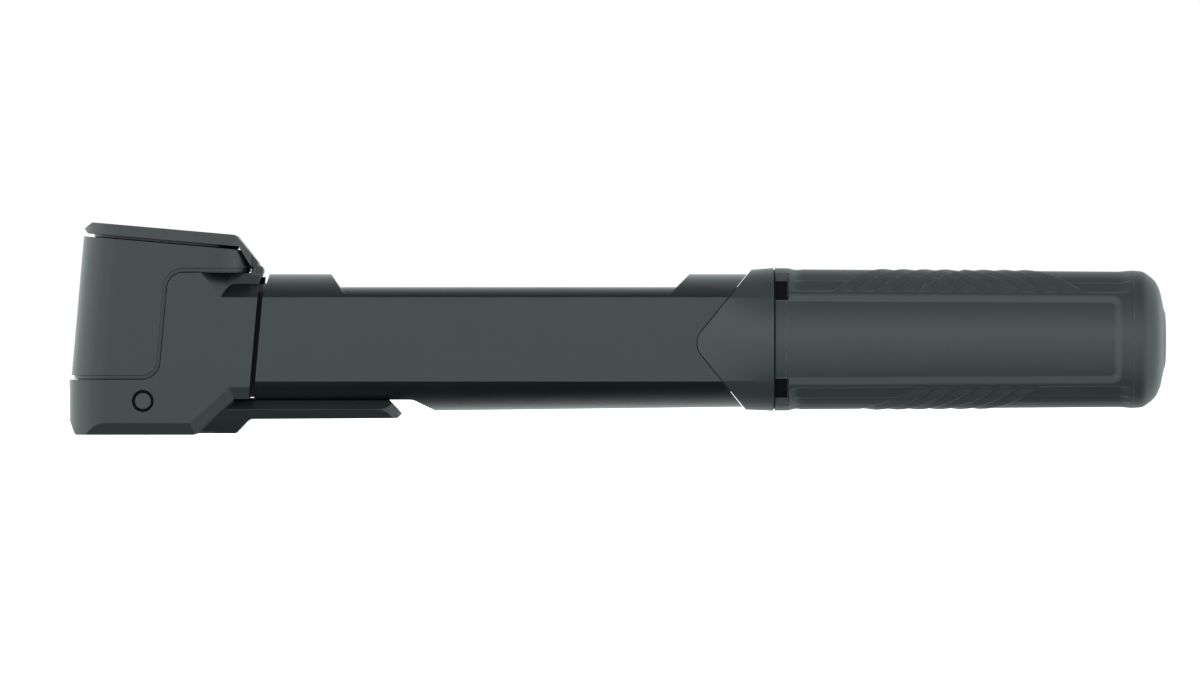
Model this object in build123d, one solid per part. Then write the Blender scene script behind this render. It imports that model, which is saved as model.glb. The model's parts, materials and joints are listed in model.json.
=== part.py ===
from build123d import *
import os
from math import cos, radians, sin, tan

# Hand pump for bicycle tyres. X runs from the valve head (left) to the end of the grip (right), Z is up and
# Y is the depth. All sizes are millimetres. A station is a distance along X from the left end of the head.

# Overall sizes
overall_length = 230.0      # head to grip end, pump closed
axis_height = 20.0          # pump axis above the base of the head
half_width = 12.5           # flat sides of the head and the barrel
lean = 5.0                  # the valve end leans towards the grip by this many degrees

# Clearances
running = 0.08              # radial gap of a shaft in its bore
seated = 0.05               # radial gap of a piece that is fixed in its seat
moving_gap = 0.3            # gap between pieces that move past each other
shut_line = 0.2             # visible line between two fixed shells

# Barrel tube and the shell around it
tube_radius = 11.0
tube_wall = 1.2
tube_start = 28.0
tube_end_inset = 14.0       # tube end, measured back from the grip end
crease = 8.8                # the flat side ends this far above and below the axis
crown_height = 13.7         # top of the shell above the axis
keel_depth = 15.4           # bottom of the shell below the axis, at the head
keel_depth_end = 14.1       # and at the grip
recess_floor = 7.35         # height of the lever recess under the barrel
recess_end = 72.0
window_floor = 29.5         # height of the ledge beside the open top of the shell
window_start = 57.6
window_end_inset = 22.1     # window end, measured back from the grip
joint_line = 1.1            # gap between the head and the shell
neck_inset = 1.25           # the neck in that gap is set in by this much

# Collar between the barrel and the grip
chevron_length = 17.4       # its point, measured back from the grip
chevron_drop = 0.8          # the point lies this far below the axis
chevron_slope = 51.0
chevron_round = 3.9
grip_gap = 0.3

# Head
head_length = 38.7          # at the height of the axis
seam_low = 12.5             # height of the seam in front of the valve
seam_high = 34.9            # and above the barrel
seam_station = 18.7         # the upright part of the seam, at the height of the axis
seam_lip = 0.95             # width of the sunk lip that follows the seam
seam_depth = 0.6
nose_round = 7.5            # upright corners at the free end, seen from above
heel_round = 10.0           # and at the barrel end
scoop_station = 31.8        # above the barrel's creases the heel is scooped out from here
scoop_run = 3.4             # over this length
scoop_half_width = 9.6      # down to this half width at the creases
scoop_draft = 22.0          # and its walls lean in by this many degrees
base_chamfer_height = 2.5
base_chamfer_depth = 1.2
base_end = 26.3             # the flat base ends here and the cheek rises
cheek_end = 34.6
cheek_height = 7.5
head_depth_below_tube = 27.0

# Valve line: distances from the lever pin, along the leaning axis
pin_station = 15.5
pin_height = 7.1
pin_radius = 1.65
pin_sink = 0.8
pin_well = 2.4              # depth of the recess around the pin's end
pin_recess_radius = 2.3
housing_top = seam_high - 1.6
housing_front = 15.5        # free end of the housing, from the valve axis
bore_radius = 5.98
plunger_foot = 5.0
plunger_top = 19.7
port_height = 13.0
port_radius = 1.5
grommet_bore = 3.75
grommet_top = housing_top - 3.8
nozzle_radius = 8.0
nozzle_bore = 4.15
nozzle_top = housing_top + 0.3
stem_top = grommet_top - 5.0
stem_radius = 0.75
ring_section = 1.75         # width of an O-ring groove

# Clamp lever
cam_radius = 4.5
cam_lift = 2.0              # lift in a quarter turn
slot_half_width = 8.2
slot_radius = 7.4
lever_half_width = 10.8
lever_base = 0.3
lever_gap = 0.12            # between the arm and the barrel above it
lever_ridge = 5.3
lever_underside = 3.3
lever_heel = 34.9
lever_tip = 69.7
lever_edge = 1.6            # the ridge stands out this far beyond top and bottom

# Dust cap
cap_gap = 0.7
cap_thickness = 2.35
cap_hinge_along = 21.6      # hinge from the valve axis
cap_hinge_up = seam_high - 5.6   # and from the lever pin
cap_hinge_radius = 0.5
cap_knuckle = 1.1
cap_leg_half_width = 5.5
cap_ear = 1.9
cap_rim = 0.55              # a rim round the nozzle on the underside of the cap
cap_rim_inset = 2.2

# Piston group
rod_radius = 4.0
piston_station = 34.0
piston_length = 8.0
piston_groove = 2.4
screw_radius = 1.5
screw_head_radius = 2.8
screw_head = 1.4
screw_depth = 6.0           # how far it goes into the rod
washer_thickness = 1.0

# Check valve in the tube's plug
disc_radius = 3.0
disc_thickness = 1.0
disc_travel = 0.7
seat_wall = 1.8

# Grip
grip_length = 82.1
grip_radius = 15.0
grip_radius_end = 14.4
core_radius = 13.2
core_bore = 11.4
front_ring_length = 2.3
bush_inset = 0.5
bush_length = 7.6
bush_radius = 12.4
end_wall = 3.5
clip_room = 1.5             # between the bumper and the end wall
dome_length = 5.6
dome_profile = ((0.30, 0.945), (0.61, 0.835), (0.75, 0.73), (0.91, 0.46))   # shares of its length and radius
nut_room = 1.0
guide_length = 7.0
guide_flange = 0.5
bumper_thickness = 1.5
nut_radius = 6.0            # across the flats
rod_washer = 0.7
clip_thickness = 0.8
nut_height = 3.0

plug_length = seat_wall + disc_thickness + disc_travel + 0.5
grip_start = overall_length - grip_length
tube_end = overall_length - tube_end_inset
shell_end = grip_start - grip_gap
barrel_start = head_length + joint_line
rod_start = piston_station + piston_length + washer_thickness
wall_start = tube_end + guide_flange + bumper_thickness + clip_room
wall_end = wall_start + end_wall
nut_start = wall_end + moving_gap + rod_washer


def x_at(station):
    return station - overall_length / 2


def leaned(station, height):
    """X of an upright that leans, given by its station at the height of the axis."""
    return x_at(station) + (height - axis_height) * tan(radians(lean))


def on_head(along, up):
    """X and Z of a place given along and up the leaning frame of the valve line."""
    s, c = sin(radians(lean)), cos(radians(lean))
    return (x_at(pin_station) + along * c + up * s, pin_height - along * s + up * c)


def outline(*corners):
    """Closed flat outline; a corner with a third value is rounded by that radius."""
    face = make_face(Polyline(*[c[:2] for c in corners], close=True))
    for c in corners:
        if len(c) == 3:
            face = fillet(face.vertices().sort_by_distance((c[0], c[1], 0))[0], c[2])
    return face


def slab(face, reach):
    """A side outline drawn in X and Z, made solid to both sides of the middle."""
    return extrude(Plane.XZ * face, amount=reach, both=True)


def valve_plane(up):
    """Plane across the leaning valve axis."""
    x, z = on_head(0, up)
    s, c = sin(radians(lean)), cos(radians(lean))
    return Plane(origin=(x, 0, z), x_dir=(c, 0, -s), z_dir=(s, 0, c))


def valve_disc(radius, low, high):
    """Round solid on the valve axis between two heights."""
    return extrude(valve_plane(low) * Circle(radius), amount=high - low)


def cross_rod(along_x, height, radius, reach):
    """Round solid across the pump."""
    return extrude(Plane.XZ * Pos(along_x, height) * Circle(radius), amount=reach, both=True)


def axis_plane(station):
    return Plane(origin=(x_at(station), 0, axis_height), x_dir=(0, 1, 0), z_dir=(1, 0, 0))


def axis_disc(radius, start, end):
    """Round solid on the pump axis between two stations."""
    return extrude(axis_plane(start) * Circle(radius), amount=end - start)


def axis_ring(outer, inner, start, end):
    return axis_disc(outer, start, end) - axis_disc(inner, start, end)


def barrel_section(station, keel, inset=0.0):
    """Flat sides, a flat arc above and a deeper arc below."""
    w, h = half_width - inset, crease - inset / 2
    edges = [
        Line((w, -h), (w, h)),
        ThreePointArc((w, h), (0, crown_height - inset), (-w, h)),
        Line((-w, h), (-w, -h)),
        ThreePointArc((-w, -h), (0, inset - keel), (w, -h)),
    ]
    return axis_plane(station) * make_face(edges)


def round_section(station, radius):
    """Circle cut into four arcs that meet where the creases of the shell run out."""
    w, h = half_width, crease
    scale = radius / (w * w + h * h) ** 0.5
    w, h = w * scale, h * scale
    edges = [
        ThreePointArc((w, -h), (radius, 0), (w, h)),
        ThreePointArc((w, h), (0, radius), (-w, h)),
        ThreePointArc((-w, h), (-radius, 0), (-w, -h)),
        ThreePointArc((-w, -h), (0, -radius), (w, -h)),
    ]
    return axis_plane(station) * make_face(edges)


def keel_at(station):
    """The keel gets shallower towards the grip."""
    share = (station - barrel_start) / (shell_end - barrel_start)
    return keel_depth + (keel_depth_end - keel_depth) * share


def barrel_form(start, end, inset=0.0):
    return loft([barrel_section(start, keel_at(start), inset), barrel_section(end, keel_at(end), inset)])


def chevron(shift=0.0):
    """Region right of the collar's pointed edge, seen from the side."""
    tip = x_at(grip_start - chevron_length) - shift
    z = axis_height - chevron_drop
    rise = 2 * grip_radius
    run = rise / tan(radians(chevron_slope))
    return slab(
        outline((tip, z, chevron_round), (tip + run, z + rise), (tip + 2 * run, z + rise),
                (tip + 2 * run, z - rise), (tip + run, z - rise)),
        2 * grip_radius,
    )


def make_barrel_shell():
    floor, top = recess_floor, axis_height + 2 * crown_height
    crease_z = axis_height + crease
    side = outline(
        (leaned(barrel_start, floor), floor),
        (x_at(recess_end), floor, 3.0),
        (x_at(recess_end + 13.0), 0.9),
        (x_at(shell_end), 0.9),
        (x_at(shell_end), top),
        (leaned(barrel_start, crease_z) + (top - crease_z) * tan(radians(3 * lean)), top),
        (leaned(barrel_start, crease_z), crease_z),
    )
    shell = barrel_form(barrel_start - 4.0, shell_end) & slab(side, 2 * half_width)
    window = outline(
        (x_at(window_start), window_floor, 1.8),
        (x_at(window_start - 4.4), window_floor + 6.5),
        (x_at(grip_start - window_end_inset + 6.5), window_floor + 6.5),
        (x_at(grip_start - window_end_inset), window_floor, 1.0),
    )
    shell -= slab(window, 2 * half_width)
    shell -= chevron(shut_line)
    low, high = floor + neck_inset, crease_z + 3.0
    neck_side = outline(
        (leaned(head_length, low), low),
        (leaned(barrel_start, low) + 1.0, low),
        (leaned(barrel_start, high) + 1.0, high),
        (leaned(head_length, high), high),
    )
    neck = barrel_form(head_length - 4.0, barrel_start + 4.0, neck_inset) & slab(neck_side, half_width)
    return shell + neck - axis_disc(tube_radius + seated, head_length - 6.0, shell_end + 1.0)


def make_collar():
    start = grip_start - chevron_length
    form = loft([barrel_section(start, keel_at(start)), round_section(shell_end, grip_radius)])
    return (form & chevron()) - axis_disc(tube_radius + seated, start - 1.0, shell_end + 1.0)


def seam_corners(grow):
    """The seam's three corners from right to left, moved outwards from the housing by grow."""
    low, high = seam_low - grow, seam_high - grow
    station = seam_station + grow
    return [
        (leaned(station, high), high, 4.3 - grow),
        (leaned(station, low), low, 3.0 + grow),
    ]


def head_plan(front, back, inset=0.0):
    """Rounded outline of the head seen from above, between two distances from the valve axis."""
    w = half_width - inset
    return outline(
        (inset - front, -w, nose_round - inset),
        (back, -w, heel_round),
        (back, w, heel_round),
        (inset - front, w, nose_round - inset),
    )


def heel_cut():
    """What is taken off above the barrel's creases, so that the heel is scooped out on both sides."""
    crease_z = axis_height + crease
    start, back = x_at(scoop_station), x_at(head_length) + 20.0
    block = extrude(Plane.XY.offset(axis_height) * Pos(start, 0) * Rectangle(44.0, 4 * half_width), amount=20.0)
    kept = []
    for level in (crease_z - 9.0, crease_z + 12.0):
        drawn_in = (level - crease_z) * tan(radians(scoop_draft))
        w, slope = scoop_half_width - drawn_in, scoop_run / (half_width - scoop_half_width)
        wide = 3 * half_width
        x = start - drawn_in
        kept.append(Plane.XY.offset(level) * outline(
            (x - 60.0, -wide), (x - (wide - half_width) * slope, -wide), (x + scoop_run, -w, 2.5), (back, -w),
            (back, w), (x + scoop_run, w, 2.5), (x - (wide - half_width) * slope, wide), (x - 60.0, wide)))
    return block - loft(kept, ruled=True) - barrel_form(head_length - 20.0, head_length + 8.0)


def base_bevel():
    """Room inside the bevel that runs along the base and up the cheek, on both sides."""
    far = 3 * head_length
    low = outline((x_at(-far), 0.0), (x_at(base_end), 0.0), (x_at(cheek_end), cheek_height),
                  (x_at(far), cheek_height), (x_at(far), far), (x_at(-far), far))
    high = offset(low, amount=-base_chamfer_height, kind=Kind.INTERSECTION)
    inner = half_width - base_chamfer_depth
    room = slab(low, inner)
    for side in (-1, 1):
        room += loft([Plane.XZ.offset(side * inner) * low, Plane.XZ.offset(side * half_width) * high], ruled=True)
    return room


def make_head_body():
    top = seam_high - seam_lip
    bottom = [
        (x_at(0.0), seam_low - seam_lip),
        (x_at(0.0), 3.0, 1.0),
        (x_at(1.2), 0.0, 0.6),
        (x_at(base_end), 0.0, 0.8),
        (x_at(cheek_end), cheek_height, 0.4),
        (leaned(head_length, cheek_height), cheek_height),
        (leaned(head_length, top), top),
    ]
    block = slab(outline(*bottom, *seam_corners(seam_lip)), half_width) & base_bevel()
    plan = extrude(Plane.XY * Pos(x_at(0.0), 0) * head_plan(0.0, 3 * head_length), amount=2 * seam_high)
    block &= plan
    block -= heel_cut()
    block += cap_ears()
    block -= lever_slot()
    block -= axis_disc(tube_radius + seated, head_depth_below_tube, 2 * head_length)
    block -= axis_disc(port_radius, pin_station, 2 * head_length)
    block -= valve_disc(bore_radius, 0.0, grommet_top)
    block -= hinge_room()
    block -= cross_rod(x_at(pin_station), pin_height, pin_radius + seated, 2 * half_width)
    for side in (-1, 1):
        recess = cross_rod(x_at(pin_station), pin_height, pin_recess_radius, pin_well)
        block -= Pos(0, side * half_width, 0) * recess
    return block


def cap_ears():
    """Two lugs that hold the pin of the dust cap."""
    x, z = on_head(cap_hinge_along, cap_hinge_up)
    foot = slab(outline((x - 3.0, z - 4.0), (x - 0.3, z - 4.0), (x + cap_knuckle, z), (x - cap_knuckle, z)),
                cap_leg_half_width + moving_gap + cap_ear)
    return cross_rod(x, z, cap_knuckle, cap_leg_half_width + moving_gap + cap_ear) + foot


def hinge_room():
    """Room for the cap's knuckle and leg, and the hole of its pin."""
    x, z = on_head(cap_hinge_along, cap_hinge_up)
    reach = cap_leg_half_width + moving_gap
    room = cross_rod(x, z, cap_knuckle + moving_gap, reach)
    room += slab(outline((x, z - 0.9), (x, z + 6.0), (x - 6.0, z + 6.0), (x - 3.6, z - 0.9)), reach)
    return room + cross_rod(x, z, cap_hinge_radius + seated, half_width)


def lever_slot():
    """Room for the lever's hub and neck, open downwards and to the right."""
    x = x_at(pin_station)
    reach = slab(outline((x - slot_radius, pin_height), (x - slot_radius, -5.0), (x_at(head_length) + 9.0, -5.0),
                         (x_at(head_length) + 9.0, pin_height + 0.6), (x, pin_height + 0.6)), slot_half_width)
    return reach + cross_rod(x, pin_height, slot_radius, slot_half_width)


def housing_outline(grow):
    return outline(
        on_head(cap_hinge_along - 4.1, housing_top),
        on_head(-2 * housing_front, housing_top),
        (on_head(-2 * housing_front, housing_top)[0], seam_low - grow),
        *reversed(seam_corners(grow)),
        (on_head(cap_hinge_along - 1.4, cap_hinge_up)[0], seam_high - grow),
    )


def housing_part(grow, inset):
    plan = extrude(valve_plane(-5.0) * head_plan(housing_front, cap_hinge_along - 1.0, inset), amount=60.0)
    return slab(housing_outline(grow), half_width) & plan


def make_valve_housing():
    body = housing_part(0.0, 0.0)
    body += housing_part(seam_lip - shut_line, seam_depth)
    body += housing_part(seam_lip, 2 * seam_depth)
    body -= valve_disc(bore_radius, 0.0, grommet_top)
    body -= valve_disc(nozzle_radius + seated, grommet_top, housing_top + 1.0)
    body -= lever_slot()
    body -= hinge_room()
    return body - axis_disc(port_radius, pin_station, head_length)


def make_nozzle_ring():
    ring = valve_disc(nozzle_radius, grommet_top, nozzle_top) - valve_disc(nozzle_bore, grommet_top, nozzle_top)
    return chamfer(ring.faces().sort_by(Axis.Z)[-1].edges(), 0.3)


def make_grommet():
    return valve_disc(bore_radius - seated, plunger_top + 0.3, grommet_top) - valve_disc(grommet_bore, 0, grommet_top)


def make_plunger():
    radius = bore_radius - running
    body = valve_disc(radius, plunger_foot, plunger_top)
    body -= valve_disc(radius, port_height - 1.8, port_height + 1.8) - valve_disc(radius - 1.2, 0, 30)
    for low in (port_height - 4.6, port_height + 2.8):
        body -= valve_disc(radius, low, low + ring_section) - valve_disc(radius - 1.3, 0, 30)
    body -= valve_disc(1.5, port_height - 1.0, plunger_top)
    body -= valve_disc(3.4, plunger_top - 1.6, plunger_top)
    x, z = on_head(0, port_height)
    cross = Plane(origin=(x, 0, z), x_dir=(0, 1, 0), z_dir=(cos(radians(lean)), 0, -sin(radians(lean))))
    return body - extrude(cross * Circle(0.9), amount=bore_radius, both=True)


def make_plunger_rings():
    radius = bore_radius - running
    rings = Part()
    for low in (port_height - 4.6, port_height + 2.8):
        rings += valve_disc(radius, low, low + ring_section) - valve_disc(radius - 1.3, 0, 30)
    return rings


def make_core_pin():
    foot = valve_disc(3.4, plunger_top - 1.6, plunger_top - 0.5)
    pin = foot + valve_disc(stem_radius, plunger_top - 1.6, stem_top)
    for turn in range(3):
        hole = valve_plane(plunger_top - 3.0) * Rot(0, 0, 60 + 120 * turn) * Pos(2.2, 0) * Circle(0.7)
        pin -= extrude(hole, amount=6.0)
    return pin


def make_lever_pin():
    return cross_rod(x_at(pin_station), pin_height, pin_radius, half_width - pin_sink)


def lever_hub():
    """Cam whose radius grows steadily over the quarter turn that reaches the plunger, and then stays the same."""
    x, z = x_at(pin_station), pin_height
    points = []
    for turn in range(0, 181, 15):
        angle = radians(90 - lean + turn)
        radius = cam_radius + cam_lift * min(turn, 90) / 90
        points.append((x + radius * cos(angle), z + radius * sin(angle)))
    rest = Polyline(points[-1], (x + cam_radius, points[-1][1]), (x + cam_radius + 2.0, z), points[0])
    return make_face([Spline(*points), rest])


def make_lever():
    x = x_at(pin_station)
    slope = (cheek_end - base_end) / cheek_height
    top = recess_floor - lever_gap
    low_left = x_at(base_end) + (lever_base + 0.5) * slope
    high_left = x_at(base_end) + (top + 0.5) * slope
    neck = outline((x, lever_base), (low_left + 3.0, lever_base), (high_left + 3.0, top), (x, top))
    hub = slab(lever_hub(), slot_half_width - moving_gap) + slab(neck, slot_half_width - moving_gap)
    arm_side = outline(
        (low_left, lever_base),
        (x_at(lever_heel), lever_base, 0.5),
        (x_at(lever_heel + 2.9), lever_underside, 1.5),
        (x_at(lever_tip - 1.0), lever_underside + 0.2, 0.6),
        (x_at(lever_tip), lever_underside + 1.1, 0.3),
        (x_at(lever_tip - 2.7), top, 0.3),
        (high_left, top),
    )
    w = lever_half_width
    section = outline((w - lever_edge, top + 0.1), (w, lever_ridge), (w - lever_edge, lever_ridge - 2.6),
                      (w - 2 * lever_edge, lever_base - 0.1), (2 * lever_edge - w, lever_base - 0.1),
                      (lever_edge - w, lever_ridge - 2.6), (-w, lever_ridge), (lever_edge - w, top + 0.1))
    run = lever_tip - pin_station + 4.0
    bar = extrude(Plane(origin=(x, 0, 0), x_dir=(0, 1, 0), z_dir=(1, 0, 0)) * section, amount=run)
    plan = extrude(Plane.XY * outline((x, -w), (x_at(lever_tip), -w, 5.0), (x_at(lever_tip), w, 5.0), (x, w)),
                   amount=2 * recess_floor)
    arm = slab(arm_side, half_width) & bar & plan
    return hub + arm - cross_rod(x, pin_height, pin_radius + running, half_width)


def cap_outline():
    low = housing_top + cap_gap
    top = low + cap_thickness
    hx, hz = cap_hinge_along, cap_hinge_up
    return outline(
        on_head(-housing_front + 0.9, low),
        on_head(-housing_front, low + 0.9),
        (*on_head(-housing_front + 1.6, top), 0.6),
        (*on_head(hx - 5.2, top), 1.5),
        on_head(hx + 0.78, hz + 0.78),
        on_head(hx - 0.78, hz - 0.78 + 0.3),
        on_head(hx - 4.5, low),
    )


def make_dust_cap():
    x, z = on_head(cap_hinge_along, cap_hinge_up)
    plan = extrude(valve_plane(0.0) * head_plan(housing_front, cap_hinge_along + 0.2), amount=60.0)
    cap = slab(cap_outline(), half_width) & plan
    low = housing_top + cap_gap
    rim = extrude(valve_plane(low - cap_rim) * head_plan(housing_front, cap_hinge_along - 4.6, cap_rim_inset),
                  amount=cap_rim + 0.2)
    cap += rim - valve_disc(nozzle_radius + 0.5, housing_top, low)
    leg_only = slab(outline((x - 1.6, z - 3.0), (x + 5.0, z - 3.0), (x + 5.0, z + 3.5), (x - 1.6, z + 3.5)), half_width)
    cap -= leg_only - slab(outline((x - 9, z - 9), (x + 9, z - 9), (x + 9, z + 9), (x - 9, z + 9)), cap_leg_half_width)
    cap += cross_rod(x, z, cap_knuckle, cap_leg_half_width)
    return cap - cross_rod(x, z, cap_hinge_radius + running, half_width)


def make_cap_pin():
    x, z = on_head(cap_hinge_along, cap_hinge_up)
    return cross_rod(x, z, cap_hinge_radius, cap_leg_half_width + moving_gap + cap_ear)


def make_tube():
    return axis_ring(tube_radius, tube_radius - tube_wall, tube_start, tube_end)


def make_tube_gasket():
    return axis_ring(tube_radius - 0.1, tube_radius - tube_wall + 0.1, head_depth_below_tube, tube_start)


def make_valve_plug():
    bore = tube_radius - tube_wall
    plug = axis_disc(bore - seated, tube_start, tube_start + plug_length)
    plug -= axis_disc(disc_radius + 0.4, tube_start, tube_start + plug_length - seat_wall)
    return plug - axis_disc(1.2, tube_start, tube_start + plug_length)


def make_check_disc():
    end = tube_start + plug_length - seat_wall - 0.05
    return axis_disc(disc_radius, end - disc_thickness, end)


def make_piston():
    radius = tube_radius - tube_wall - 0.4
    end = piston_station + piston_length
    middle = piston_station + piston_length / 2
    body = axis_disc(radius, piston_station, end)
    body -= axis_ring(radius, radius - 2.0, middle - piston_groove / 2, middle + piston_groove / 2)
    return body - axis_disc(screw_radius + seated, piston_station, end)


def make_piston_seal():
    radius = tube_radius - tube_wall
    middle = piston_station + piston_length / 2
    return axis_ring(radius - seated, radius - 2.4, middle - piston_groove / 2, middle + piston_groove / 2)


def make_piston_screw():
    head = axis_disc(screw_head_radius, piston_station - screw_head, piston_station)
    return head + axis_disc(screw_radius, piston_station, rod_start + screw_depth)


def make_piston_washer():
    end = piston_station + piston_length
    return axis_ring(rod_radius + 3.0, screw_radius + seated, end, end + washer_thickness)


def make_rod():
    rod = axis_disc(rod_radius, rod_start, nut_start + nut_height + 0.3)
    return rod - axis_disc(screw_radius, rod_start, rod_start + screw_depth + 1.0)


def make_rod_guide():
    inner = tube_radius - tube_wall - seated
    guide = axis_disc(inner, tube_end - guide_length, tube_end)
    guide += axis_disc(tube_radius, tube_end, tube_end + guide_flange)
    guide -= axis_disc(rod_radius + running, tube_end - guide_length, tube_end + guide_flange)
    return guide - axis_disc(rod_radius + 2.0, tube_end - 2.5, tube_end + guide_flange)


def make_rod_seal():
    return axis_ring(rod_radius + 2.0 - seated, rod_radius + running, tube_end - 2.4, tube_end - 0.2)


def make_bumper():
    start = tube_end + guide_flange
    return axis_ring(tube_radius - 1.5, rod_radius + 2.4, start, start + bumper_thickness)


def make_rod_clip():
    start = wall_start - moving_gap - clip_thickness
    return axis_ring(rod_radius + 1.4, rod_radius, start, start + clip_thickness)


def make_rod_washer():
    return axis_ring(rod_radius + 2.2, rod_radius, wall_end + moving_gap, nut_start)


def make_rod_nut():
    hexagon = RegularPolygon(nut_radius, 6, major_radius=False)
    nut = extrude(axis_plane(nut_start) * hexagon, amount=nut_height)
    return nut - axis_disc(rod_radius, nut_start, nut_start + nut_height)


def make_front_ring():
    ring = axis_ring(grip_radius, bush_radius, grip_start, grip_start + front_ring_length)
    outer = ring.edges().filter_by(GeomType.CIRCLE).filter_by(lambda e: abs(e.radius - grip_radius) < 0.01)
    return chamfer(outer, 0.3)


def make_grip_bush():
    return axis_ring(bush_radius, tube_radius + running, grip_start + bush_inset, grip_start + bush_inset + bush_length)


def make_grip_core():
    start = grip_start + front_ring_length
    core = axis_disc(core_radius, start, wall_end)
    core -= axis_disc(core_bore, start, wall_start)
    core -= axis_disc(bush_radius, start, grip_start + bush_inset + bush_length)
    core += axis_ring(tube_radius - 2.0, rod_radius + 2.6, wall_start - clip_room + moving_gap, wall_start)
    return core - axis_disc(rod_radius + running, wall_start, wall_end)


def grip_radius_at(station):
    share = (station - grip_start) / grip_length
    return grip_radius + (grip_radius_end - grip_radius) * share


def make_grip_sleeve():
    start, end = grip_start + front_ring_length, wall_end
    side = outline((x_at(start), axis_height + core_radius), (x_at(start), axis_height + grip_radius_at(start)),
                   (x_at(end), axis_height + grip_radius_at(end)), (x_at(end), axis_height + core_radius))
    return revolve(Plane.XZ * side, Axis((0, 0, axis_height), (1, 0, 0)))


def make_end_plug():
    start, end = wall_end, overall_length
    radius = grip_radius_at(start)
    rim = (x_at(end - dome_length), axis_height + radius - 0.1)
    dome = [(x_at(end - dome_length * (1 - share)), axis_height + radius * height) for share, height in dome_profile]
    tip = (x_at(end), axis_height)
    edges = [
        Polyline(tip, (x_at(start), axis_height), (x_at(start), axis_height + radius), rim),
        Spline(rim, *dome, tip, tangents=((1.0, -0.06), (0.0, -1.0))),
    ]
    plug = revolve(Plane.XZ * make_face(edges), Axis((0, 0, axis_height), (1, 0, 0)))
    return plug - axis_disc(nut_radius + 2.0, start, nut_start + nut_height + nut_room)


pieces = {
    "head_body": make_head_body,
    "valve_housing": make_valve_housing,
    "nozzle_ring": make_nozzle_ring,
    "valve_grommet": make_grommet,
    "plunger": make_plunger,
    "plunger_rings": make_plunger_rings,
    "core_pin": make_core_pin,
    "clamp_lever": make_lever,
    "lever_pin": make_lever_pin,
    "dust_cap": make_dust_cap,
    "cap_pin": make_cap_pin,
    "barrel_tube": make_tube,
    "tube_gasket": make_tube_gasket,
    "valve_plug": make_valve_plug,
    "check_disc": make_check_disc,
    "barrel_shell": make_barrel_shell,
    "collar": make_collar,
    "rod_guide": make_rod_guide,
    "rod_seal": make_rod_seal,
    "bumper": make_bumper,
    "piston": make_piston,
    "piston_seal": make_piston_seal,
    "piston_screw": make_piston_screw,
    "piston_washer": make_piston_washer,
    "piston_rod": make_rod,
    "rod_clip": make_rod_clip,
    "rod_washer": make_rod_washer,
    "rod_nut": make_rod_nut,
    "front_ring": make_front_ring,
    "grip_bush": make_grip_bush,
    "grip_core": make_grip_core,
    "grip_sleeve": make_grip_sleeve,
    "end_plug": make_end_plug,
}

os.makedirs("parts", exist_ok=True)
for name, make in pieces.items():
    export_step(make(), f"parts/{name}.step")
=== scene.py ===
import bpy
import json
import numpy as np
from math import pi, radians
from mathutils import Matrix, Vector


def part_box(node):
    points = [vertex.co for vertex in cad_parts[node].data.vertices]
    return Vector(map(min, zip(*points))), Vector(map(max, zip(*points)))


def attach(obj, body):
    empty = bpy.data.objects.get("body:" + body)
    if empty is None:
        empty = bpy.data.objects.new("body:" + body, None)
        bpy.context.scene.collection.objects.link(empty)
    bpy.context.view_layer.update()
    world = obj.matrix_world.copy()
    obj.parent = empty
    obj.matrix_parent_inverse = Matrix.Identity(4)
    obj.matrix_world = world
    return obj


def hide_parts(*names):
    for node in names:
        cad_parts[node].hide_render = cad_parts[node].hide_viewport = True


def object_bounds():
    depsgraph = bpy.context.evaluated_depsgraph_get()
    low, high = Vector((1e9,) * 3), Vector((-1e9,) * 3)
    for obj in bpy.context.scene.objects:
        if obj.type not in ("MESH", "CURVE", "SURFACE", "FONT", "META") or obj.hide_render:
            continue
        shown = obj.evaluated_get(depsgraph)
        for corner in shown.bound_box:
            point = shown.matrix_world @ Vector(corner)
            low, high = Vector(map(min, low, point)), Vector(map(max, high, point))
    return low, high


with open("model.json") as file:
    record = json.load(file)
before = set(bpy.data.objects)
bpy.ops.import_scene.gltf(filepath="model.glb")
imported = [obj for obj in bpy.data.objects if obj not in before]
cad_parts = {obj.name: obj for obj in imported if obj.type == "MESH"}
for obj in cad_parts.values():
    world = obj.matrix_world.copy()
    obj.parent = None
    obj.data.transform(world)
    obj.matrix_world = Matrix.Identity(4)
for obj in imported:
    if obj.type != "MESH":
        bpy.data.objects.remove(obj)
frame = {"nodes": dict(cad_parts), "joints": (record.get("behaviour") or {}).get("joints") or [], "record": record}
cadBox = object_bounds()
scene = bpy.context.scene
nodes = frame["nodes"]
joints = {joint["name"]: joint for joint in frame["joints"]}

low, high = (Vector(corner) for corner in cadBox)
middle = (low + high) / 2
pumpAxis = Vector(joints["grip_twist"]["pos_m"])
valveAxis = Vector(joints["plunger_lift"]["axis"])
print("frame loaded, box", [round(v * 1000, 1) for v in (*low, *high)])


def linkObject(name, mesh):
    piece = bpy.data.objects.new(name, mesh)
    scene.collection.objects.link(piece)
    return piece


def shadeByAngle(mesh, degrees):  # smooth shading, sharp where faces turn by more than the angle
    mesh.polygons.foreach_set("use_smooth", np.ones(len(mesh.polygons), bool))
    mesh.set_sharp_from_angle(angle=radians(degrees))


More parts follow.
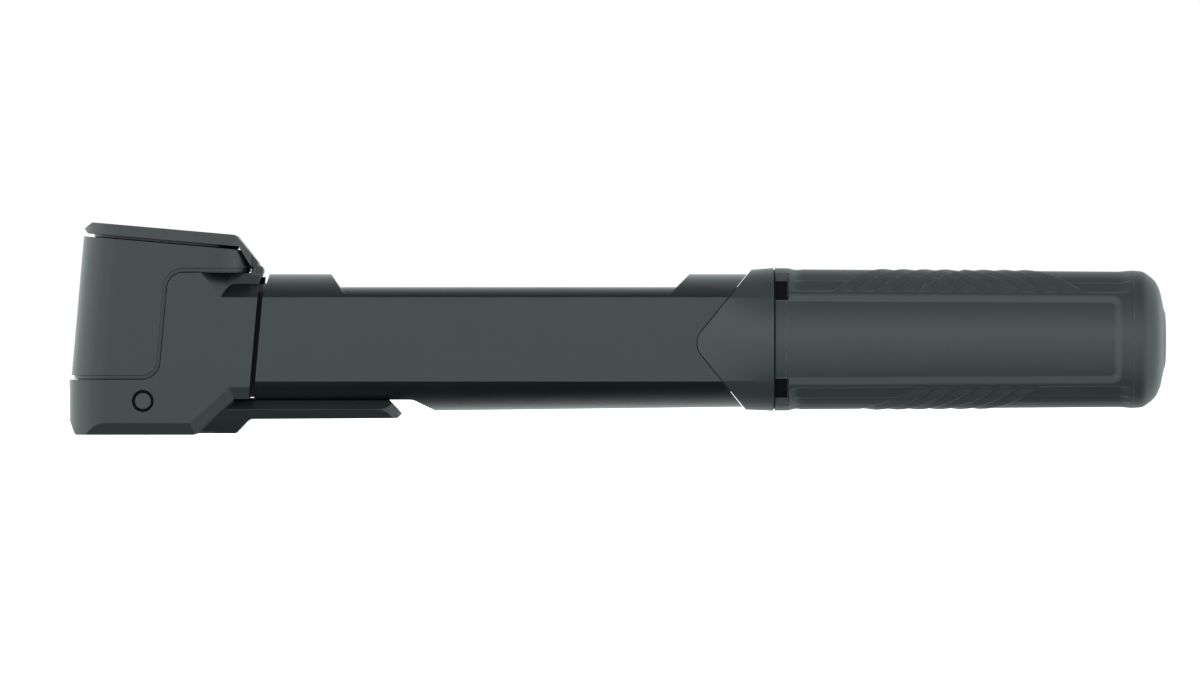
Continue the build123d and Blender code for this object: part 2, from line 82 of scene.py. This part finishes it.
def gridMesh(name, points, closedU=False, closedV=False, turned=False):  # a quad for each cell of the grid
    rows, columns = points.shape[:2]
    u = np.arange(rows if closedU else rows - 1)
    v = np.arange(columns if closedV else columns - 1)
    a, b = (grid.ravel() for grid in np.meshgrid(u, v, indexing="ij"))
    nextA, nextB = (a + 1) % rows, (b + 1) % columns
    quads = np.stack([a * columns + b, nextA * columns + b, nextA * columns + nextB, a * columns + nextB], 1)
    if turned:
        quads = quads[:, ::-1]
    mesh = bpy.data.meshes.new(name)
    mesh.vertices.add(rows * columns)
    mesh.vertices.foreach_set("co", points.reshape(-1).astype(np.float32))
    mesh.loops.add(quads.size)
    mesh.loops.foreach_set("vertex_index", quads.ravel().astype(np.int32))
    mesh.polygons.add(len(quads))
    mesh.polygons.foreach_set("loop_start", np.arange(0, quads.size, 4, dtype=np.int32))
    mesh.update(calc_edges=True)
    return mesh


def newGroup(name, inputs, outputs):  # shader group with its sockets
    group = bpy.data.node_groups.new(name, "ShaderNodeTree")
    for socketName, kind, value in inputs:
        socket = group.interface.new_socket(socketName, in_out="INPUT", socket_type=kind)
        if value is not None:
            socket.default_value = value
    for socketName, kind in outputs:
        group.interface.new_socket(socketName, in_out="OUTPUT", socket_type=kind)
    return group, group.nodes.new("NodeGroupInput"), group.nodes.new("NodeGroupOutput")


def addNode(tree, kind, **settings):
    node = tree.nodes.new(kind)
    for key, value in settings.items():
        setattr(node, key, value)
    return node


def mathNode(tree, operation, first, second, clamp=False):  # puts out the result socket
    node = addNode(tree, "ShaderNodeMath", operation=operation, use_clamp=clamp)
    for socket, value in zip(node.inputs, (first, second)):
        if isinstance(value, (int, float)):
            socket.default_value = value
        else:
            tree.links.new(value, socket)
    return node.outputs[0]


def noiseNode(tree, vector, scale, detail, roughness=0.5):
    node = addNode(tree, "ShaderNodeTexNoise")
    node.inputs["Detail"].default_value = detail
    node.inputs["Roughness"].default_value = roughness
    tree.links.new(vector, node.inputs["Vector"])
    if isinstance(scale, (int, float)):
        node.inputs["Scale"].default_value = scale
    else:
        tree.links.new(scale, node.inputs["Scale"])
    return node.outputs["Fac"]


def makeMouldGrain():  # height = fine noise + cells, mottle = slow noise
    group, source, out = newGroup(
        "mouldGrain",
        [("Vector", "NodeSocketVector", None), ("Scale", "NodeSocketFloat", 2600.0)],
        [("Height", "NodeSocketFloat"), ("Mottle", "NodeSocketFloat")],
    )
    fine = noiseNode(group, source.outputs["Vector"], source.outputs["Scale"], 3.0, 0.6)
    cells = addNode(group, "ShaderNodeTexVoronoi", feature="SMOOTH_F1")
    group.links.new(source.outputs["Vector"], cells.inputs["Vector"])
    group.links.new(source.outputs["Scale"], cells.inputs["Scale"])
    height = mathNode(group, "ADD", mathNode(group, "MULTIPLY", fine, 0.6),
                      mathNode(group, "MULTIPLY", cells.outputs["Distance"], 0.5))
    slowScale = mathNode(group, "MULTIPLY", source.outputs["Scale"], 0.03)
    slow = noiseNode(group, source.outputs["Vector"], slowScale, 4.0)
    group.links.new(height, out.inputs["Height"])
    group.links.new(slow, out.inputs["Mottle"])
    return group


def makeEdgeWearAndHighlight():
    # rounded normal of every edge; mask = how far it turns from the true normal, times noise; the mask marks pale
    # edges that are partly rubbed wear and partly painted highlight
    group, source, out = newGroup(
        "edgeWear",
        [("Vector", "NodeSocketVector", None), ("Amount", "NodeSocketFloat", 0.5),
         ("Radius", "NodeSocketFloat", 0.0002)],
        [("Mask", "NodeSocketFloat"), ("Normal", "NodeSocketVector")],
    )
    bevel = addNode(group, "ShaderNodeBevel", samples=6)
    group.links.new(source.outputs["Radius"], bevel.inputs["Radius"])
    geometry = addNode(group, "ShaderNodeNewGeometry")
    match = addNode(group, "ShaderNodeVectorMath", operation="DOT_PRODUCT")
    group.links.new(bevel.outputs["Normal"], match.inputs[0])
    group.links.new(geometry.outputs["Normal"], match.inputs[1])
    sharp = addNode(group, "ShaderNodeMapRange")
    sharp.inputs["From Min"].default_value = 0.995
    sharp.inputs["From Max"].default_value = 0.93
    group.links.new(match.outputs["Value"], sharp.inputs["Value"])
    patches = addNode(group, "ShaderNodeMapRange")
    patches.inputs["From Min"].default_value = 0.38
    patches.inputs["From Max"].default_value = 0.62
    group.links.new(noiseNode(group, source.outputs["Vector"], 420.0, 5.0, 0.65), patches.inputs["Value"])
    # edge mask for painted highlight and wear, broken into patches
    wornAndHighlit = mathNode(group, "MULTIPLY", sharp.outputs["Result"], patches.outputs["Result"])
    group.links.new(mathNode(group, "MULTIPLY", wornAndHighlit, source.outputs["Amount"], clamp=True), out.inputs["Mask"])
    group.links.new(bevel.outputs["Normal"], out.inputs["Normal"])
    return group


def makeHandlingMarks():  # mask = long thin scuffs along the pump + soft smears
    group, source, out = newGroup(
        "handlingMarks",
        [("Vector", "NodeSocketVector", None)],
        [("Mask", "NodeSocketFloat")],
    )
    stretch = addNode(group, "ShaderNodeVectorMath", operation="MULTIPLY")
    stretch.inputs[1].default_value = (60.0, 900.0, 900.0)
    group.links.new(source.outputs["Vector"], stretch.inputs[0])
    lines = addNode(group, "ShaderNodeMapRange")
    lines.inputs["From Min"].default_value = 0.6
    lines.inputs["From Max"].default_value = 0.75
    group.links.new(noiseNode(group, stretch.outputs[0], 1.0, 2.0), lines.inputs["Value"])
    smear = addNode(group, "ShaderNodeMapRange")
    smear.inputs["From Min"].default_value = 0.45
    smear.inputs["From Max"].default_value = 0.75
    group.links.new(noiseNode(group, source.outputs["Vector"], 55.0, 3.0), smear.inputs["Value"])
    both = mathNode(group, "ADD", mathNode(group, "MULTIPLY", lines.outputs["Result"], 0.35),
                    mathNode(group, "MULTIPLY", smear.outputs["Result"], 0.65), clamp=True)
    group.links.new(both, out.inputs["Mask"])
    return group


mouldGrain = makeMouldGrain()
edgeWear = makeEdgeWearAndHighlight()
handlingMarks = makeHandlingMarks()


def placeGroup(tree, group, vector, **values):
    node = addNode(tree, "ShaderNodeGroup", node_tree=group)
    tree.links.new(vector, node.inputs["Vector"])
    for key, value in values.items():
        node.inputs[key].default_value = value
    return node


def mouldedMaterial(name, look):  # mottled colour, pale edges that are partly rubbed wear and partly painted highlight, grain in the bump
    material = bpy.data.materials.new(name)
    material.use_nodes = True
    tree = material.node_tree
    shader = tree.nodes["Principled BSDF"]
    place = addNode(tree, "ShaderNodeTexCoord").outputs["Object"]
    grain = placeGroup(tree, mouldGrain, place, Scale=look["grainScale"])
    wear = placeGroup(tree, edgeWear, place, Amount=look["wear"], Radius=look["edgeRadius"])
    marks = placeGroup(tree, handlingMarks, place)
    tint = addNode(tree, "ShaderNodeMix", data_type="RGBA")
    tint.inputs["A"].default_value = (*look["dark"], 1)
    tint.inputs["B"].default_value = (*look["light"], 1)
    tree.links.new(grain.outputs["Mottle"], tint.inputs["Factor"])
    # pale edge colour mixed in by the mask: partly rubbed wear, partly painted highlight on edges and rib crests
    rubbed = addNode(tree, "ShaderNodeMix", data_type="RGBA")
    rubbed.inputs["B"].default_value = (*look["rubbed"], 1)
    tree.links.new(tint.outputs["Result"], rubbed.inputs["A"])
    tree.links.new(wear.outputs["Mask"], rubbed.inputs["Factor"])
    tree.links.new(rubbed.outputs["Result"], shader.inputs["Base Color"])
    rough = mathNode(tree, "MULTIPLY", marks.outputs["Mask"], look["markRoughness"])
    rough = mathNode(tree, "ADD", rough, look["roughness"])
    tree.links.new(rough, shader.inputs["Roughness"])
    bump = addNode(tree, "ShaderNodeBump")
    bump.inputs["Strength"].default_value = look["bump"]
    bump.inputs["Distance"].default_value = look["bumpDistance"]
    tree.links.new(grain.outputs["Height"], bump.inputs["Height"])
    tree.links.new(wear.outputs["Normal"], bump.inputs["Normal"])
    tree.links.new(bump.outputs["Normal"], shader.inputs["Normal"])
    shader.inputs["IOR"].default_value = look["ior"]
    return material


def turnedMetal(name, look):  # noise stretched into fine rings, in colour, roughness and bump
    material = bpy.data.materials.new(name)
    material.use_nodes = True
    tree = material.node_tree
    shader = tree.nodes["Principled BSDF"]
    place = addNode(tree, "ShaderNodeTexCoord").outputs["Object"]
    stretch = addNode(tree, "ShaderNodeVectorMath", operation="MULTIPLY")
    stretch.inputs[1].default_value = look["stretch"]
    tree.links.new(place, stretch.inputs[0])
    rings = noiseNode(tree, stretch.outputs[0], 1.0, 3.0)
    marks = placeGroup(tree, handlingMarks, place)
    tint = addNode(tree, "ShaderNodeMix", data_type="RGBA")
    tint.inputs["A"].default_value = (*look["dark"], 1)
    tint.inputs["B"].default_value = (*look["light"], 1)
    tree.links.new(rings, tint.inputs["Factor"])
    tree.links.new(tint.outputs["Result"], shader.inputs["Base Color"])
    rough = mathNode(tree, "ADD", mathNode(tree, "MULTIPLY", rings, 0.15),
                     mathNode(tree, "MULTIPLY", marks.outputs["Mask"], 0.08))
    tree.links.new(mathNode(tree, "ADD", rough, look["roughness"]), shader.inputs["Roughness"])
    bump = addNode(tree, "ShaderNodeBump")
    bump.inputs["Strength"].default_value = 0.12
    bump.inputs["Distance"].default_value = 0.00002
    tree.links.new(rings, bump.inputs["Height"])
    tree.links.new(bump.outputs["Normal"], shader.inputs["Normal"])
    shader.inputs["Metallic"].default_value = 1.0
    return material


# rubbed colours paint pale edges: partly wear, partly painted highlight
shellLook = {
    "dark": (0.0065, 0.0095, 0.0095), "light": (0.0085, 0.012, 0.012), "rubbed": (0.028, 0.034, 0.034),
    "roughness": 0.30, "markRoughness": 0.05, "bump": 0.10, "bumpDistance": 0.00003, "grainScale": 2600.0,
    "wear": 0.8, "edgeRadius": 0.00016, "ior": 1.5,
}
gripLook = {
    "dark": (0.0240, 0.0295, 0.0295), "light": (0.0280, 0.0340, 0.0340), "rubbed": (0.085, 0.096, 0.096),
    "roughness": 0.42, "markRoughness": 0.06, "bump": 0.16, "bumpDistance": 0.00003, "grainScale": 3400.0,
    "wear": 0.9, "edgeRadius": 0.00020, "ior": 1.43,
}
# near-black rubber for seals; the same finish colours the dark pieces of painted shade in the joints, the cap gap,
# the grip notch, the collar gap and the pin wells
sealRubberAndShadeLook = {
    "dark": (0.0012, 0.0014, 0.0014), "light": (0.0026, 0.0028, 0.0028), "rubbed": (0.008, 0.008, 0.008),
    "roughness": 0.75, "markRoughness": 0.1, "bump": 0.08, "bumpDistance": 0.00002, "grainScale": 1800.0,
    "wear": 0.1, "edgeRadius": 0.0001, "ior": 1.25,
}
innerLook = {
    "dark": (0.012, 0.012, 0.013), "light": (0.02, 0.02, 0.021), "rubbed": (0.05, 0.05, 0.05),
    "roughness": 0.42, "markRoughness": 0.1, "bump": 0.1, "bumpDistance": 0.00002, "grainScale": 1500.0,
    "wear": 0.3, "edgeRadius": 0.0001, "ior": 1.46,
}
finishes = {
    "dark_shell": mouldedMaterial("satinShell", shellLook),
    "cap_plastic": mouldedMaterial("capPlastic", {**shellLook, "dark": (0.014, 0.0175, 0.0175),
                                                  "light": (0.017, 0.021, 0.021), "roughness": 0.36}),
    "collar": mouldedMaterial("collarSatin", {**gripLook, "roughness": 0.38, "edgeRadius": 0.0002}),
    "grip_rubber": mouldedMaterial("gripRubber", gripLook),
    "seal_rubber": mouldedMaterial("sealRubber", sealRubberAndShadeLook),
    "inner_plastic": mouldedMaterial("innerPlastic", innerLook),
    "tube_black": turnedMetal("tubeBlack", {"dark": (0.02, 0.026, 0.026), "light": (0.035, 0.042, 0.042),
                                            "roughness": 0.22, "stretch": (90.0, 2200.0, 2200.0)}),
    "rod_alloy": turnedMetal("rodAlloy", {"dark": (0.55, 0.56, 0.57), "light": (0.78, 0.79, 0.8),
                                          "roughness": 0.16, "stretch": (140.0, 3000.0, 3000.0)}),
    "anodised": turnedMetal("nozzleAlloy", {"dark": (0.05, 0.055, 0.055), "light": (0.09, 0.095, 0.095),
                                            "roughness": 0.25, "stretch": (300.0, 300.0, 5200.0)}),
    "dark_steel": turnedMetal("darkSteel", {"dark": (0.035, 0.04, 0.04), "light": (0.07, 0.075, 0.075),
                                            "roughness": 0.3, "stretch": (1500.0, 1500.0, 1500.0)}),
    "steel_pin": turnedMetal("steelPin", {"dark": (0.38, 0.39, 0.4), "light": (0.6, 0.61, 0.62),
                                          "roughness": 0.22, "stretch": (2600.0, 2600.0, 2600.0)}),
    "brass_part": turnedMetal("brassPin", {"dark": (0.55, 0.38, 0.15), "light": (0.75, 0.55, 0.27),
                                           "roughness": 0.2, "stretch": (900.0, 900.0, 4000.0)}),
}
slotOf = {part["node"]: part["material_slot"] for part in frame["record"]["subparts"]}
for name, node in nodes.items():
    node.data.materials.clear()
    node.data.materials.append(finishes[slotOf[name]])
print("finishes on", len(nodes), "nodes")


def ramp(value, start, end):  # 0 before start, 1 after end, straight between
    return np.clip((value - start) / (end - start), 0.0, 1.0)


def soft(value, start, end):  # the same with eased ends
    share = ramp(value, start, end)
    return share * share * (3 - 2 * share)


gripLow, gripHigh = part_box("grip_sleeve")
ringLow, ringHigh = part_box("front_ring")
plugLow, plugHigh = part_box("end_plug")
gripStart = ringLow.x
grip = {
    "radius": (ringHigh.z - ringLow.z) / 2, "radiusEnd": (plugHigh.z - plugLow.z) / 2,
    "coreRadius": 0.01325, "bushRadius": 0.01245, "skin": 0.00002,
    "notchDepth": 0.0015, "notchEnd": 0.0027, "notchTop": 66.0, "wall": 0.00012,
    "panelDepth": 0.0007, "panelArc": 0.00872, "panelEnd": 0.0711, "panelRamp": 0.0014, "panelCorner": 0.0009,
    "lipHeight": 0.00078, "calm": 0.4, "lineHeight": 0.00042, "padStart": 0.0113, "pitch": 0.00436,
    "forwardLips": (0.0129, 0.9, 0.01243, 4), "backwardLips": (0.0347, -1.05, 0.0112, 7),
    "lowerLips": (0.0340, -1.02, 0.0112, 5),
    "linesFront": (0.0153, 0.0188), "linesRear": (0.0150, 0.0178), "linesEnd": 0.0722, "sharp": 0.00038,
    "columns": 380, "rows": 228,
}
taperLength = plugLow.x - gripStart


def taperedRadius(along):  # straight taper to the end, a hair inside the solid
    return grip["radius"] + (grip["radiusEnd"] - grip["radius"]) * along / taperLength - grip["skin"]


def lipTooth(phase, width, rising):  # for each whole phase one long slope and one sharp drop
    share = phase - np.floor(phase)
    if rising:
        return np.minimum(share / (1 - width), (1 - share) / width)
    return np.minimum(share / width, (1 - share) / (1 - width))


def lineSteps(arc, lines):  # between two lines a slow rise, and a drop at the upper one
    height = np.zeros_like(arc)
    below = grip["padStart"]
    for line in (*lines, 0.0236):
        inside = (arc >= below) & (arc < line)
        tooth = np.minimum((arc - below) / (line - below - grip["sharp"]), (line - arc) / grip["sharp"])
        height = np.where(inside, tooth, height)
        below = line
    return np.clip(height, 0, 1)


def slantedGroup(along, arc, settings, rising):  # phase grows by one from each slanted line to the next
    first, slope, level, count = settings
    phase = (along - first - slope * (arc - level)) / grip["pitch"]
    return lipTooth(phase, 0.11, rising), phase, (phase >= (-1 if rising else 0)) & (phase < count)


def gripRelief(along, angle):  # depth below the taper: side panels, front notches and ribbed pads
    lift = np.degrees(np.arcsin(np.clip(np.sin(angle), -1, 1)))
    arc = np.radians(np.abs(lift)) * (grip["radius"] + grip["radiusEnd"]) / 2
    outX = along - grip["panelEnd"] + grip["panelCorner"]
    outA = arc - grip["panelArc"] + grip["panelCorner"]
    edge = np.hypot(np.maximum(outX, 0), np.maximum(outA, 0)) + np.minimum(np.maximum(outX, outA), 0)
    panel = 1 - ramp(edge - grip["panelCorner"], 0, grip["panelRamp"])
    notch = (1 - ramp(along, grip["notchEnd"] - grip["wall"], grip["notchEnd"]))
    notch = notch * (1 - ramp(np.abs(lift), grip["notchTop"] - 2.0, grip["notchTop"] + 1.5))
    notch = notch * ramp(arc, grip["panelArc"] + 0.0001, grip["panelArc"] + 0.0006)
    sunk = np.maximum(panel * grip["panelDepth"], notch * grip["notchDepth"])
    forward, forwardPhase, inForward = slantedGroup(along, arc, grip["forwardLips"], False)
    backward, backwardPhase, inBackward = slantedGroup(along, arc, grip["backwardLips"], True)
    lower, lowerPhase, inLower = slantedGroup(along, arc, grip["lowerLips"], True)
    front = lineSteps(arc, grip["linesFront"]) * ramp(along, 0.0038, 0.0058)
    rear = lineSteps(arc, grip["linesRear"])
    lines = grip["lineHeight"] / grip["lipHeight"]
    count = grip["forwardLips"][3]
    upper = np.where(forwardPhase < 0, front * lines,
                     np.where(inForward & (forwardPhase < count), forward,
                              np.where(backwardPhase < grip["backwardLips"][3], backward, rear * lines)))
    under = np.where(lowerPhase < -1, front * lines, np.where(inLower, lower, rear * lines))
    teeth = np.where(lift > 0, upper, under)
    pad = soft(arc, grip["padStart"] - 0.0006, grip["padStart"] + 0.0008)
    pad = pad * ramp(along, grip["notchEnd"], grip["notchEnd"] + 0.002)
    pad = pad * (1 - soft(along, grip["linesEnd"] - 0.0005, grip["linesEnd"] + 0.003))
    calm = grip["calm"] * soft(np.abs(lift), 68.0, 86.0)  # lower lips near top and bottom
    return sunk + pad * (1 - teeth) * (grip["lipHeight"] * (1 - calm))


def aroundAxis(along, radius, angle):  # depth = radius times cosine, height = radius times sine
    return np.stack([gripStart + along + 0 * radius, pumpAxis.y - radius * np.cos(angle),
                     pumpAxis.z + radius * np.sin(angle)], -1)


def bunched(count, places, strength, width):  # 0 to 1 in steps that are closer near the places
    fine = np.linspace(0, 1, 4001)
    density = 1 + sum(strength * np.exp(-((fine - place) / width) ** 2) for place in places)
    total = np.concatenate([[0], np.cumsum((density[1:] + density[:-1]) / 2)])
    return np.interp(np.linspace(0, total[-1], count), total, fine)


def makeGripSurface(name, node, start, end, rows, inner, slotName):  # radius = taper - relief, closed by a bore
    turns = bunched(grip["columns"] + 1, (0.095, 0.405, 0.595, 0.905), 1.2, 0.02)[:-1] * 2 * pi
    along = start + (end - start) * np.linspace(0, 1, rows)
    s, a = np.meshgrid(along, turns, indexing="ij")
    outer = aroundAxis(s, taperedRadius(s) - gripRelief(s, a), a)
    bore = [aroundAxis(np.full_like(turns, place), np.full_like(turns, inner), turns) for place in (end, start)]
    points = np.concatenate([outer, np.stack(bore)], 0)
    mesh = gridMesh(name, points, closedU=True, closedV=True)
    piece = linkObject(name, mesh)
    shadeByAngle(mesh, 50)
    mesh.materials.append(finishes[slotName])
    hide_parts(node)
    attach(piece, "grip")
    return piece


makeGripSurface("gripSkin", "grip_sleeve", gripLow.x - gripStart, gripHigh.x - gripStart, grip["rows"] + 24,
                grip["coreRadius"], "grip_rubber")
makeGripSurface("gripFrontRing", "front_ring", 0.0, ringHigh.x - ringLow.x, 30, grip["bushRadius"],
                "grip_rubber")
print("grip made")


# thin dark boxes standing in for the shade in the joint gaps and the gap over the lever
jointBars = {
    "station": 0.0387, "width": 0.0011, "inset": 0.00116, "thickness": 0.00004,
    "side": (0.0079, 0.0300), "middle": (0.0292, 0.0331), "middleHalf": 0.0035,
    "hinge": (0.0337, 0.0352), "hingeStation": 0.03685, "hingeSide": 0.0067, "hingeHalf": 0.0007,
    "hingeWidth": 0.0004,
    "buffers": ((0.0320, 0.0085, 0.00724, 0.00772), (0.0395, 0.0286, 0.00724, 0.00740)), "bufferHalf": 0.0060,
}


def solidMesh(name, corners, faces):
    mesh = bpy.data.meshes.new(name)
    mesh.from_pydata(corners, [], faces)
    mesh.update()
    return mesh


def addPiece(name, mesh, slotName, body):
    piece = linkObject(name, mesh)
    mesh.materials.append(finishes[slotName])
    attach(piece, body)
    return piece


def makeJointShadeBars():  # dark boxes of painted shade in the head joint, the hinge and the gap over the lever; they lean with the joint: X grows by height times the lean
    headStart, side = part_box("head_body")[0].x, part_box("barrel_shell")[1].y - jointBars["inset"]
    station, width = jointBars["station"], jointBars["width"]
    bars = [(station, width, sign * side, jointBars["thickness"], *jointBars["side"]) for sign in (-1, 1)]
    bars.append((station, width, 0.0, jointBars["middleHalf"], *jointBars["middle"]))
    bars += [(jointBars["hingeStation"], jointBars["hingeWidth"], sign * jointBars["hingeSide"],
              jointBars["hingeHalf"], *jointBars["hinge"]) for sign in (-1, 1)]
    bars += [(start, length, 0.0, jointBars["bufferHalf"], bottom, top)
             for start, length, bottom, top in jointBars["buffers"]]
    corners, faces = [], []
    for station, width, y, half, bottom, top in bars:
        base = len(corners)
        for depth in (y - half, y + half):
            for z in (bottom, top):
                start = headStart + station + (z - pumpAxis.z) * valveAxis.x / valveAxis.z
                corners += [(start, depth, z), (start + width, depth, z)]
        faces += [tuple(base + k for k in face) for face in
                  ((0, 1, 3, 2), (4, 6, 7, 5), (0, 4, 5, 1), (2, 3, 7, 6), (0, 2, 6, 4), (1, 5, 7, 3))]
    addPiece("jointBars", solidMesh("jointBars", corners, faces), "seal_rubber", "barrel")


makeJointShadeBars()

# dark ring of painted shade filling the seam under the cap
capGasket = {
    "front": -0.0131, "back": 0.0168, "half": 0.0101, "frontRound": 0.0053, "backRound": 0.0078,
    "hole": 0.0086, "low": 0.00003, "high": 0.00016, "nozzleRise": 0.0003, "columns": 96,
}


def onValveLine(along, across, up):  # leaning frame of the valve line, from the lever pin
    pin = Vector(joints["lever_clamp"]["pos_m"])
    x = pin.x + along * valveAxis.z + up * valveAxis.x
    return np.stack([x, across, pin.z - along * valveAxis.x + up * valveAxis.z], -1)


def makeCapGapShade():  # dark flat ring of painted shade in the gap under the cap, between a rounded rectangle and a round hole
    nozzleHigh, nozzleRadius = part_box("nozzle_ring")[1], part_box("nozzle_ring")[1].y
    seat = (nozzleHigh.z - joints["lever_clamp"]["pos_m"][2] - nozzleRadius * valveAxis.x) / valveAxis.z
    seat -= capGasket["nozzleRise"]
    angle = np.linspace(0, 2 * pi, capGasket["columns"], endpoint=False)
    towards = np.cos(angle) > 0
    reach = np.where(towards, capGasket["back"], -capGasket["front"])
    corner = np.where(towards, capGasket["backRound"], capGasket["frontRound"])
    # rounded rectangle: every quarter turn is a corner arc pushed out to its own corner centre
    along = np.sign(np.cos(angle)) * (reach - corner) + corner * np.cos(angle)
    across = np.sign(np.sin(angle)) * (capGasket["half"] - corner) + corner * np.sin(angle)
    holeAlong, holeAcross = capGasket["hole"] * np.cos(angle), capGasket["hole"] * np.sin(angle)
    rings = [onValveLine(a, c, seat + capGasket[level] + 0 * a) for a, c, level in
             ((along, across, "low"), (along, across, "high"), (holeAlong, holeAcross, "high"),
              (holeAlong, holeAcross, "low"))]
    mesh = gridMesh("capGasket", np.stack(rings), closedU=True, closedV=True, turned=True)
    shadeByAngle(mesh, 30)
    addPiece("capGasket", mesh, "seal_rubber", "cap")


makeCapGapShade()

# dark rings standing in for the shade in the grip notch, the collar gap and the pin wells
shadeRings = {
    "notch": {"outer": 0.01356, "inner": 0.01344, "start": 0.0001, "end": 0.0027, "columns": 128},
    "gap": {"outer": 0.0146, "inner": 0.0125, "start": -0.00028, "end": -0.00003, "columns": 128},
    "pin": {"outer": 0.00229, "inner": 0.00168, "start": 0.0102, "end": 0.01145, "columns": 48},
}


def ringPoints(settings):  # closed ring of square section: distance along its axis, and two across it
    turn = np.linspace(0, 2 * pi, settings["columns"], endpoint=False)
    loops = [(settings["start"], "outer"), (settings["end"], "outer"), (settings["end"], "inner"),
             (settings["start"], "inner")]
    return np.stack([np.stack([0 * turn + place, settings[r] * np.cos(turn), settings[r] * np.sin(turn)], -1)
                     for place, r in loops])


def makeShadeRings():  # dark rings of painted shade, of square section, round the pump axis (grip notch, collar gap) and the lever pin (pin wells)
    for name, key, body in (("gripInset", "notch", "grip"), ("collarSeal", "gap", "barrel")):
        points = ringPoints(shadeRings[key]) + np.array([gripStart, pumpAxis.y, pumpAxis.z])
        mesh = gridMesh(name, points, closedU=True, closedV=True, turned=True)
        shadeByAngle(mesh, 40)
        addPiece(name, mesh, "seal_rubber", body)
    pin = joints["lever_clamp"]["pos_m"]
    for name, sign in (("pinRingNear", -1), ("pinRingFar", 1)):
        x, y, z = np.moveaxis(ringPoints(shadeRings["pin"]), -1, 0)
        points = np.stack([pin[0] + y, sign * x, pin[2] + z], -1)
        mesh = gridMesh(name, points, closedU=True, closedV=True, turned=sign < 0)
        shadeByAngle(mesh, 40)
        addPiece(name, mesh, "seal_rubber", "barrel")


makeShadeRings()
# the joint bars, the ring under the cap and the dark rings are all pieces of painted shade
print("joint bars, cap gasket and dark rings made")
nodes["collar"].data.materials[0] = finishes["collar"]


floorSettings = {"half": 30.0, "drop": 0.075, "glow": 0.75}


def makeFloor():  # white square below the open lever
    half, level = floorSettings["half"], low.z - floorSettings["drop"]
    corners = [(-half, -half, level), (half, -half, level), (half, half, level), (-half, half, level)]
    floor = linkObject("floor", solidMesh("floor", corners, [(0, 1, 2, 3)]))
    material = bpy.data.materials.new("paleFloor")
    material.use_nodes = True
    shader = material.node_tree.nodes["Principled BSDF"]
    shader.inputs["Base Color"].default_value = (0.85, 0.85, 0.85, 1)
    shader.inputs["Roughness"].default_value = 0.9
    shader.inputs["Emission Color"].default_value = (1, 1, 1, 1)
    shader.inputs["Emission Strength"].default_value = floorSettings["glow"]
    floor.data.materials.append(material)
    floor.visible_glossy = False
    floor.visible_diffuse = False


def makeWorld():
    # white for the camera; round the object a bright belt with a small dark cone below and a dim one above
    world = bpy.data.worlds.new("studio")
    scene.world = world
    world.use_nodes = True
    tree = world.node_tree
    tree.nodes.clear()
    split = addNode(tree, "ShaderNodeSeparateXYZ")
    tree.links.new(addNode(tree, "ShaderNodeTexCoord").outputs["Generated"], split.inputs[0])
    belt = addNode(tree, "ShaderNodeValToRGB")
    stops = belt.color_ramp.elements
    steps = ((0.0, 0.0), (0.02, 0.015), (0.055, 0.22), (0.12, 0.60), (0.25, 0.88), (0.5, 1.02), (0.72, 0.92),
             (0.92, 0.52), (0.975, 0.25), (1.0, 0.17))
    stops[0].position, stops[1].position = steps[0][0], steps[-1][0]
    for position, value in steps[1:-1]:
        stops.new(position)
    for stop, (position, value) in zip(stops, steps):
        stop.color = (value * 0.89, value, value * 0.985, 1)
    height = mathNode(tree, "ADD", mathNode(tree, "MULTIPLY", split.outputs["Z"], 0.5), 0.5)
    tree.links.new(height, belt.inputs["Fac"])
    left = addNode(tree, "ShaderNodeMapRange")
    left.inputs["From Min"].default_value = -0.25
    left.inputs["From Max"].default_value = -1.0
    left.inputs["To Min"].default_value = 1.25
    left.inputs["To Max"].default_value = 2.6
    tree.links.new(split.outputs["X"], left.inputs["Value"])
    right = addNode(tree, "ShaderNodeMapRange")
    right.inputs["From Min"].default_value = 0.35
    right.inputs["From Max"].default_value = 1.0
    right.inputs["To Max"].default_value = 0.9
    tree.links.new(split.outputs["X"], right.inputs["Value"])
    around = addNode(tree, "ShaderNodeBackground")
    strength = mathNode(tree, "ADD", left.outputs["Result"], right.outputs["Result"])
    tree.links.new(strength, around.inputs["Strength"])
    tree.links.new(belt.outputs["Color"], around.inputs["Color"])
    seen = addNode(tree, "ShaderNodeBackground")
    seen.inputs["Color"].default_value = (1, 1, 1, 1)
    mix = addNode(tree, "ShaderNodeMixShader")
    tree.links.new(addNode(tree, "ShaderNodeLightPath").outputs["Is Camera Ray"], mix.inputs[0])
    tree.links.new(around.outputs[0], mix.inputs[1])
    tree.links.new(seen.outputs[0], mix.inputs[2])
    tree.links.new(mix.outputs[0], addNode(tree, "ShaderNodeOutputWorld").inputs[0])


def makeLight(name, place, size, power):  # soft rectangle aimed at the middle of the pump
    light = bpy.data.lights.new(name, "AREA")
    light.shape = "RECTANGLE"
    light.size, light.size_y = size
    light.energy = power
    lamp = linkObject(name, light)
    lamp.location = place
    lamp.rotation_euler = (Vector((0, 0, middle.z)) - Vector(place)).to_track_quat("-Z", "Y").to_euler()
    lamp.visible_camera = False


cameraSettings = {"lens": 550, "sensor": 36, "place": (-0.0038, -3.85, 0.0204)}


def makeCamera():  # far away with a long lens, so the side is seen almost without perspective
    camera = bpy.data.cameras.new("camera")
    camera.lens = cameraSettings["lens"]
    camera.sensor_width = cameraSettings["sensor"]
    eye = linkObject("camera", camera)
    eye.location = cameraSettings["place"]
    eye.rotation_euler = (pi / 2, 0, 0)
    scene.camera = eye


makeFloor()
makeWorld()
makeLight("frontSoftbox", (-0.1, -1.1, 0.30), (1.3, 0.6), 2.0)
makeCamera()
print("floor, world, light and camera made")
scene.view_settings.view_transform = "Standard"
